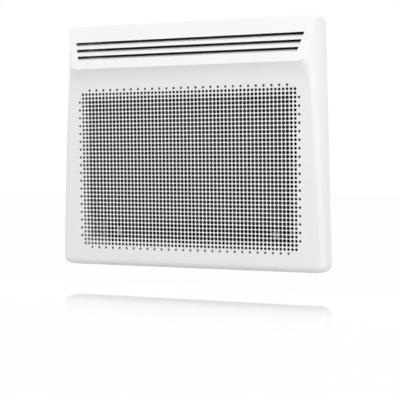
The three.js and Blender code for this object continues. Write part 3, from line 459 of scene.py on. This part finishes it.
def makeFrontShell():
    outerRows, innerRows = shellRows(0), shellRows(shell["wall"])
    lastRow = len(outerRows) - 1
    bm = bmesh.new()
    bmesh.ops.create_grid(bm, x_segments=2 * lastColumn, y_segments=lastRow, size=1)
    rowOf = bm.verts.layers.int.new("row")
    columnOf = bm.verts.layers.int.new("column")
    for vert in bm.verts:
        vert[columnOf] = round(vert.co.x * lastColumn)
        vert[rowOf] = round((vert.co.y + 1) / 2 * lastRow)
    openFaces = [f for f in bm.faces
                 if isOpening(outerRows[min(v[rowOf] for v in f.verts)],
                              min(v[columnOf] for v in f.verts))]
    bmesh.ops.delete(bm, geom=openFaces, context="FACES")
    for row in (0, lastRow):
        cap = sorted([v for v in bm.verts if v[rowOf] == row], key=lambda v: v[columnOf])
        bm.faces.new(cap)
    # The wall's inner side is the copy that solidify makes, set to its own depth.
    outer = set(bm.verts)
    bmesh.ops.solidify(bm, geom=bm.faces[:], thickness=shell["wall"])
    for vert in bm.verts:
        row, column = vert[rowOf], vert[columnOf]
        if vert in outer:
            vert.co = shellPoint(outerRows[row], column, 0, 0)
            continue
        depthOfSlot = shell["slotDepth"] if isSlotRow(outerRows[row]) else 0
        vert.co = shellPoint(innerRows[row], column, shell["wall"], depthOfSlot)
        if abs(column) == lastColumn:
            vert.co.y = shell["rimY"]
    bmesh.ops.recalc_face_normals(bm, faces=bm.faces)
    return bm


finishPiece(makeFrontShell(), "front_shell", "heater", whiteMoulding,
            ["front_frame"])
print("front shell made")


# The punched sheet in the window.
grille = {
    "pitch": 6.8,
    "columns": 61,
    "rows": 41,
    "sheet": 0.5,
    "sides": 12,
    "holes": (4.3, 4.9, 5.5, 6.2),  # diameters from the outermost ring inwards
    "plainCorner": 3,  # the outermost ring has no holes this near its corners
    "smoothAngle": 60,
}
lastHoleX, lastHoleY = grille["columns"] - 1, grille["rows"] - 1


def holeAt(column, row):
    ring = min(column, row, lastHoleX - column, lastHoleY - row)
    if ring == 0:
        along, last = (column, lastHoleX) if row in (0, lastHoleY) else (row, lastHoleY)
        plain = grille["plainCorner"]
        if along % 2 == 0 or along < plain or along > last - plain:
            return 0
    return grille["holes"][min(ring, len(grille["holes"]) - 1)]


def cellMesh(diameter):
    # One square of sheet with its round hole; the corners and side points fall on 12 rays.
    half = grille["pitch"] / 2
    turn = Matrix.Rotation(math.pi / grille["sides"], 4, "Z")
    cell = bmesh.new()
    outline = bmesh.ops.create_circle(cell, segments=grille["sides"], radius=half,
                                      matrix=turn)["verts"]
    for vert in outline:
        vert.co *= half / max(abs(vert.co.x), abs(vert.co.y))
    if diameter:
        bmesh.ops.create_circle(cell, segments=grille["sides"], radius=diameter / 2, matrix=turn)
        bmesh.ops.bridge_loops(cell, edges=cell.edges)
    else:
        bmesh.ops.contextual_create(cell, geom=outline)
    back = bmesh.ops.duplicate(cell, geom=cell.verts[:] + cell.edges[:] + cell.faces[:])["geom"]
    bmesh.ops.translate(cell, vec=(0, 0, -grille["sheet"]), verts=vertsOf(back))
    if diameter:
        rims = [e for e in cell.edges
                if all(v.co.xy.length < diameter / 2 + hair for v in e.verts)]
        bmesh.ops.bridge_loops(cell, edges=rims)
    return cell


def stamp(bm, data, shift):
    data.transform(Matrix.Translation(shift))
    bm.from_mesh(data)
    data.transform(Matrix.Translation(Vector(shift) * -1))


def makePanel():
    pitch = grille["pitch"]
    cells = {diameter: meshFrom("cell", cellMesh(diameter)) for diameter in (0, *grille["holes"])}
    strips = {}
    bm = bmesh.new()
    for row in range(grille["rows"]):
        holes = tuple(holeAt(column, row) for column in range(grille["columns"]))
        if holes not in strips:
            strip = bmesh.new()
            for column, diameter in enumerate(holes):
                stamp(strip, cells[diameter], ((column - lastHoleX / 2) * pitch, 0, 0))
            strips[holes] = meshFrom("strip", strip)
        stamp(bm, strips[holes], (0, (row - lastHoleY / 2) * pitch, 0))
    bmesh.ops.remove_doubles(bm, verts=bm.verts, dist=hair)
    # The plain border runs out to the frame's window, and the sheet's edge closes it.
    lean = math.radians(shell["fieldTilt"])
    windowY = (shell["windowTop"] - shell["windowBottom"]) / 2 / math.cos(lean)
    border = [e for e in bm.edges if len(e.link_faces) == 1]
    for vert in vertsOf(bmesh.ops.extrude_edge_only(bm, edges=border)["geom"]):
        if abs(vert.co.x) > grille["columns"] * pitch / 2 - hair:
            vert.co.x = math.copysign(shell["windowHalf"], vert.co.x)
        if abs(vert.co.y) > grille["rows"] * pitch / 2 - hair:
            vert.co.y = math.copysign(windowY, vert.co.y)
    bmesh.ops.bridge_loops(bm, edges=[e for e in bm.edges if len(e.link_faces) == 1])
    bmesh.ops.recalc_face_normals(bm, faces=bm.faces)
    upright = Matrix.Rotation(math.radians(90 + shell["fieldTilt"]), 4, "X")
    centreZ = (shell["windowTop"] + shell["windowBottom"]) / 2
    centre = Matrix.Translation((0, shell["fieldY"], centreZ))
    bmesh.ops.transform(bm, matrix=centre @ upright, verts=bm.verts)
    for data in [*cells.values(), *strips.values()]:
        bpy.data.meshes.remove(data)
    return bm


finishPiece(makePanel(), "perforated_sheet", "heater", whiteSheet,
            ["perforated_panel"], grille["smoothAngle"])
print("perforated sheet made")


# The pressed and moulded parts of the back, the underside and the controls. Each starts from its
# node's own shape, so it stays where the part has it, and gets the rounded edges of the real piece.
def roundEdges(bm, edges, radius, segments=2, clamped=True):
    bmesh.ops.bevel(bm, geom=edges, offset=radius, segments=segments, profile=0.5,
                    affect="EDGES", clamp_overlap=clamped, material=-1)


def copyNode(node):
    bm = bmesh.new()
    bm.from_mesh(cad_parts[node].data)
    bmesh.ops.remove_doubles(bm, verts=bm.verts, dist=0.000001)  # still in metres
    bmesh.ops.dissolve_limit(bm, angle_limit=math.radians(1), verts=bm.verts, edges=bm.edges)
    bmesh.ops.scale(bm, vec=(perMetre,) * 3, verts=bm.verts)
    return bm


def roundedCopy(node, radius):
    bm = copyNode(node)
    roundEdges(bm, sharpEdges(bm), radius)
    return bm


tray = {
    "backY": -22,
    "backBand": 0.3,  # an edge this near the back belongs to it
    "backRadius": 3.2,  # of the pressed edge round the back
    "backSegments": 4,
    "edgeRadius": 0.35,
    "outlineX": 178,
    "outlineZ": 170,
    "heart": (0, -0.06, 0),  # metres; a face that is turned to it is on the tray's inside
    "turned": -0.002,  # metres
}


def makeTray():
    bm = copyNode("rear_casing")
    outline = [e for e in sharpEdges(bm)
               if all(v.co.y > tray["backY"] - tray["backBand"]
                      and (abs(v.co.x) > tray["outlineX"] or abs(v.co.z) > tray["outlineZ"])
                      for v in e.verts)]
    roundEdges(bm, outline, tray["backRadius"], tray["backSegments"], False)
    roundEdges(bm, sharpEdges(bm), tray["edgeRadius"])
    return bm


rearTray = finishPiece(makeTray(), "rear_tray", "heater", casingCoat,
                       ["rear_casing"])
# The tray is painted outside only: its inner side stays galvanised, a darker grey that is partly
# painted shade for the inside of the box.
rearTray.data.materials.append(zincSheet)
for face in rearTray.data.polygons:
    if face.normal.dot(face.center - Vector(tray["heart"])) < tray["turned"]:
        face.material_index = 1

# node: radius of the edges, the new piece, its body, finish and slot
covers = {
    "wall_bracket": (0.4, "wall_bracket_pressed", "wall_bracket", zincSheet, "zinc"),
    "control_housing": (0.5, "control_cover", "heater", whiteMoulding, "control_shell"),
    "display_window": (0.3, "display_lens", "heater", smokedLens, "lens"),
    "switch_body": (0.4, "switch_bezel", "heater", darkNylon, "dark_plastic"),
    "inlet_grille": (0.25, "inlet_louvre", "heater", darkNylon, "dark_plastic"),
    "cable_gland": (0.5, "gland_nut", "heater", darkNylon, "dark_plastic"),
    "switch_rocker": (0.6, "rocker_cap", "rocker", darkNylon, "dark_plastic"),
    "wall_spacer_left": (0.7, "rubber_spacer_left", "heater", footRubber, "rubber"),
    "wall_spacer_right": (0.7, "rubber_spacer_right", "heater", footRubber, "rubber"),
}
for node, (radius, name, body, finish, slot) in covers.items():
    finishPiece(roundedCopy(node, radius), name, body, finish, [node])
print("tray, bracket and covers made")


# Pan-head screws with a cross recess, driven in from the back.
screw = {
    "count": 8,
    "segments": 12,
    "rings": (  # radius and y, from the tip to the top of the head
        (0.9, -65.4), (1.25, -64.2), (1.25, -55.5), (3.55, -55.5),
        (3.6, -55.1), (3.3, -54.3), (2.6, -53.75), (1.7, -53.55),
    ),
    "recess": (1.45, 0.36, 0.9),  # half length and half width of the cross, and its depth
    "recessMargin": 0.02,
    "recessFloor": 0.6,  # the cross narrows to this share at its floor
}


def raiseCap(bm, cap, radius, y):
    grown = bmesh.ops.extrude_face_region(bm, geom=[cap])["geom"]
    bmesh.ops.delete(bm, geom=[cap], context="FACES_ONLY")
    for vert in vertsOf(grown):
        outward = Vector((vert.co.x, 0, vert.co.z)).normalized() * radius
        vert.co = Vector((outward.x, y, outward.z))
    return [g for g in grown if isinstance(g, bmesh.types.BMFace)][0]


def makeScrew(centreX, centreZ):
    lie = (Matrix.Rotation(math.radians(-90), 4, "X")
           @ Matrix.Rotation(math.pi / screw["segments"], 4, "Z"))
    tipRadius, tipY = screw["rings"][0]
    topRadius, topY = screw["rings"][-1]
    bm = bmesh.new()
    ring = bmesh.ops.create_circle(bm, segments=screw["segments"], radius=tipRadius,
                                   matrix=lie)["verts"]
    bmesh.ops.translate(bm, vec=(0, tipY, 0), verts=ring)
    cap = bmesh.ops.contextual_create(bm, geom=ring)["faces"][0]
    for radius, y in screw["rings"][1:]:
        cap = raiseCap(bm, cap, radius, y)
    cap = raiseCap(bm, cap, topRadius - screw["recessMargin"], topY)
    # The cap's points go to the ends of the cross's arms, and to its four inner corners.
    half, narrow, depth = screw["recess"]
    for vert in cap.verts:
        turn = abs(math.degrees(math.atan2(vert.co.z, vert.co.x))) % 90
        reach = narrow if abs(turn - 45) < 1 else half
        onFlatArm = abs(vert.co.x) > abs(vert.co.z)
        vert.co.x = math.copysign(reach if onFlatArm else narrow, vert.co.x)
        vert.co.z = math.copysign(narrow if onFlatArm else reach, vert.co.z)
    deep = bmesh.ops.extrude_face_region(bm, geom=[cap])["geom"]
    bmesh.ops.delete(bm, geom=[cap], context="FACES_ONLY")
    for vert in vertsOf(deep):
        vert.co = Vector((vert.co.x * screw["recessFloor"], vert.co.y - depth,
                          vert.co.z * screw["recessFloor"]))
    bmesh.ops.recalc_face_normals(bm, faces=bm.faces)
    bmesh.ops.translate(bm, vec=(centreX, 0, centreZ), verts=bm.verts)
    return bm


for count in range(1, screw["count"] + 1):
    low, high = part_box(f"casing_screw_{count}")
    centreX, centreZ = [(low[axis] + high[axis]) / 2 * perMetre for axis in (0, 2)]
    finishPiece(makeScrew(centreX, centreZ), f"pan_screw_{count}", "heater", screwSteel,
                [f"casing_screw_{count}"])
print("screws made")


# Keys with plain generic signs, printed in a thin pale ink.
keys = {
    "faceX": 221.2,
    "centreY": -40,
    "centreZ": {"power": 66, "mode": 50, "plus": 34, "minus": 18},
    "edge": 0.9,  # rounding of a cap
    "ink": 0.12,  # thickness of the print
    # centre y and z from the key's centre, half width and half height
    "bars": {
        "power": ((0, 2.2, 0.35, 1.6),),
        "mode": ((0, 1.7, 2.4, 0.35), (0, 0, 2.4, 0.35), (0, -1.7, 2.4, 0.35)),
        "plus": ((0, 0, 2.4, 0.35), (0, 1.375, 0.35, 1.025), (0, -1.375, 0.35, 1.025)),
        "minus": ((0, 0, 2.4, 0.35),),
    },
    # radius, first angle and sweep
    "rings": {"power": (2.5, 120, 300)},
    "ringStroke": 0.7,
    "ringSteps": 28,
}
# Screen-printing ink: opaque, matt and almost white.
inkWhite = paintedFinish("paleScreenPrint", ("#F2F2F0", "#ECECEA"), 0.6, 0.4, 0.005)


def thicken(bm, faces):
    grown = bmesh.ops.extrude_face_region(bm, geom=faces, use_keep_orig=True)["geom"]
    bmesh.ops.translate(bm, vec=(keys["ink"], 0, 0), verts=vertsOf(grown))
    bmesh.ops.recalc_face_normals(bm, faces=bm.faces)


def addBar(bm, centreY, centreZ, halfWidth, halfHeight):
    # Drawn lying on the key's face, whose outward side is the heater's right.
    lie = (Matrix.Translation((keys["faceX"], centreY, centreZ))
           @ Matrix.Rotation(math.radians(90), 4, "Y"))
    flat = bmesh.ops.create_grid(bm, x_segments=1, y_segments=1, size=1, matrix=lie)["verts"]
    for vert in flat:
        vert.co.z = centreZ + (vert.co.z - centreZ) * halfHeight
        vert.co.y = centreY + (vert.co.y - centreY) * halfWidth
    thicken(bm, flat[0].link_faces[:])


def addRing(bm, centreY, centreZ, radius, first, sweep):
    before = set(bm.faces)
    centre = Vector((keys["faceX"], centreY, centreZ))
    outward = Vector((0, math.cos(math.radians(first)), math.sin(math.radians(first))))
    ends = [bm.verts.new(centre + outward * (radius + half))
            for half in (-keys["ringStroke"] / 2, keys["ringStroke"] / 2)]
    edge = bm.edges.new(ends)
    bmesh.ops.spin(bm, geom=[*ends, edge], cent=centre, axis=(1, 0, 0),
                   angle=math.radians(sweep), steps=keys["ringSteps"], use_duplicate=False)
    thicken(bm, [f for f in bm.faces if f not in before])


for key, keyZ in keys["centreZ"].items():
    finishPiece(roundedCopy(f"button_{key}", keys["edge"]), f"{key}_cap", f"{key}_key", greyKey,
                [f"button_{key}"])
    sign = bmesh.new()
    for shiftY, shiftZ, halfWidth, halfHeight in keys["bars"][key]:
        addBar(sign, keys["centreY"] + shiftY, keyZ + shiftZ, halfWidth, halfHeight)
    if key in keys["rings"]:
        addRing(sign, keys["centreY"], keyZ, *keys["rings"][key])
    finishPiece(sign, f"{key}_sign", f"{key}_key", inkWhite)
print("keys made")


# Floor and light.
studio = {
    "floorZ": -0.2365,
    "floorSize": 12,
    "floorColour": "#D2D2D2",
    "floorRoughness": 0.5,
    "floorWhite": 0.97,  # share of plain white in what the camera sees of the floor
    "mirrorY": -0.24,  # the polish is strongest along this line, just before the heater
    "mirrorBand": (0.03, 0.36),  # it starts to fade and has died away this far from the line
    "mirrorPower": 2.2,
    "mirrorShare": 0.58,
    "mirrorRoughness": 0.02,
    "world": 0.61,
    # name: place and size in metres, watts
    "lamps": {
        "softboxRight": ((2.13, -1.8, 1.2), (1.8, 1.0), 34),
        "softboxLeft": ((-2.7, -0.75, 1.5), (1.8, 1.2), 23),
        "softboxAbove": ((0.1, -0.3, 3.0), (1.8, 1.2), 24),
    },
}


def addBackgroundRays(tree):
    # 1 for the rays that see the white background: camera, glossy and transmission.
    ray = addNode(tree, "ShaderNodeLightPath")
    seen = addNode(tree, "ShaderNodeMath", {"operation": "MAXIMUM"},
                   {0: ray.outputs["Is Camera Ray"], 1: ray.outputs["Is Glossy Ray"]})
    background = addNode(tree, "ShaderNodeMath", {"operation": "MAXIMUM"},
                         {0: seen.outputs[0], 1: ray.outputs["Is Transmission Ray"]})
    return background.outputs[0], ray.outputs["Is Camera Ray"]


def makeFloorFinish():
    material, tree, shader, place = newFinish("polishedPaleFloor", studio["floorRoughness"])
    shader.inputs["Base Color"].default_value = linearColour(studio["floorColour"])
    background, toCamera = addBackgroundRays(tree)
    white = addNode(tree, "ShaderNodeEmission", {"Strength": 1.0})
    lift = addNode(tree, "ShaderNodeMath", {"operation": "MULTIPLY", 1: studio["floorWhite"]},
                   {0: background})
    ground = addNode(tree, "ShaderNodeMixShader", {},
                     {0: lift.outputs[0], 1: shader.outputs[0], 2: white.outputs[0]})
    # The polish mirrors the heater's foot in a band before it, and dies away to both sides.
    mirror = addNode(tree, "ShaderNodeBsdfGlossy",
                     {"Roughness": studio["mirrorRoughness"], "Color": (1, 1, 1, 1)})
    apart = addNode(tree, "ShaderNodeSeparateXYZ", {}, {0: place})
    fromLine = addNode(tree, "ShaderNodeMath", {"operation": "ADD", 1: -studio["mirrorY"]},
                       {0: apart.outputs["Y"]})
    away = addNode(tree, "ShaderNodeMath", {"operation": "ABSOLUTE"}, {0: fromLine.outputs[0]})
    near, far = studio["mirrorBand"]
    fade = addNode(tree, "ShaderNodeMapRange",
                   {"From Min": near, "From Max": far, "To Min": 1, "To Max": 0},
                   {"Value": away.outputs[0]})
    dying = addNode(tree, "ShaderNodeMath", {"operation": "POWER", 1: studio["mirrorPower"]},
                    {0: fade.outputs[0]})
    partial = addNode(tree, "ShaderNodeMath", {"operation": "MULTIPLY", 1: studio["mirrorShare"]},
                      {0: dying.outputs[0]})
    polish = addNode(tree, "ShaderNodeMath", {"operation": "MULTIPLY"},
                     {0: partial.outputs[0], 1: toCamera})
    topSide = addNode(tree, "ShaderNodeMixShader", {},
                      {0: polish.outputs[0], 1: ground.outputs[0], 2: mirror.outputs[0]})
    # Seen from below the floor is left out, so that the underside shows.
    facing = addNode(tree, "ShaderNodeNewGeometry")
    through = addNode(tree, "ShaderNodeBsdfTransparent")
    both = addNode(tree, "ShaderNodeMixShader", {},
                   {0: facing.outputs["Backfacing"], 1: topSide.outputs[0], 2: through.outputs[0]})
    tree.links.new(both.outputs[0], tree.nodes["Material Output"].inputs["Surface"])
    return material


def makeFloor():
    bm = bmesh.new()
    bmesh.ops.create_grid(bm, x_segments=1, y_segments=1, size=studio["floorSize"] / 2)
    bmesh.ops.translate(bm, vec=(0, 0, studio["floorZ"]), verts=bm.verts)
    mesh = meshFrom("floor", bm)
    mesh.materials.append(makeFloorFinish())
    floor = bpy.data.objects.new("floor", mesh)
    bpy.context.scene.collection.objects.link(floor)


def makeWorld():
    world = bpy.data.worlds.new("studio")
    world.use_nodes = True
    bpy.context.scene.world = world
    tree = world.node_tree
    background, toCamera = addBackgroundRays(tree)
    soft = addNode(tree, "ShaderNodeBackground",
                   {"Color": (1, 1, 1, 1), "Strength": studio["world"]})
    white = addNode(tree, "ShaderNodeBackground", {"Color": (1, 1, 1, 1), "Strength": 1.0})
    mixed = addNode(tree, "ShaderNodeMixShader", {},
                    {0: background, 1: soft.outputs[0], 2: white.outputs[0]})
    tree.links.new(mixed.outputs[0], tree.nodes["World Output"].inputs["Surface"])


def makeLamp(name, place, size, power):
    lamp = bpy.data.lights.new(name, "AREA")
    lamp.shape = "RECTANGLE"
    lamp.size, lamp.size_y = size
    lamp.energy = power
    rig = bpy.data.objects.new(name, lamp)
    rig.location = place
    rig.rotation_euler = (Vector(place) * -1).to_track_quat("-Z", "Y").to_euler()
    bpy.context.scene.collection.objects.link(rig)


makeFloor()
makeWorld()
for lampName, lampSettings in studio["lamps"].items():
    makeLamp(lampName, *lampSettings)
print("floor, world and lamps made")
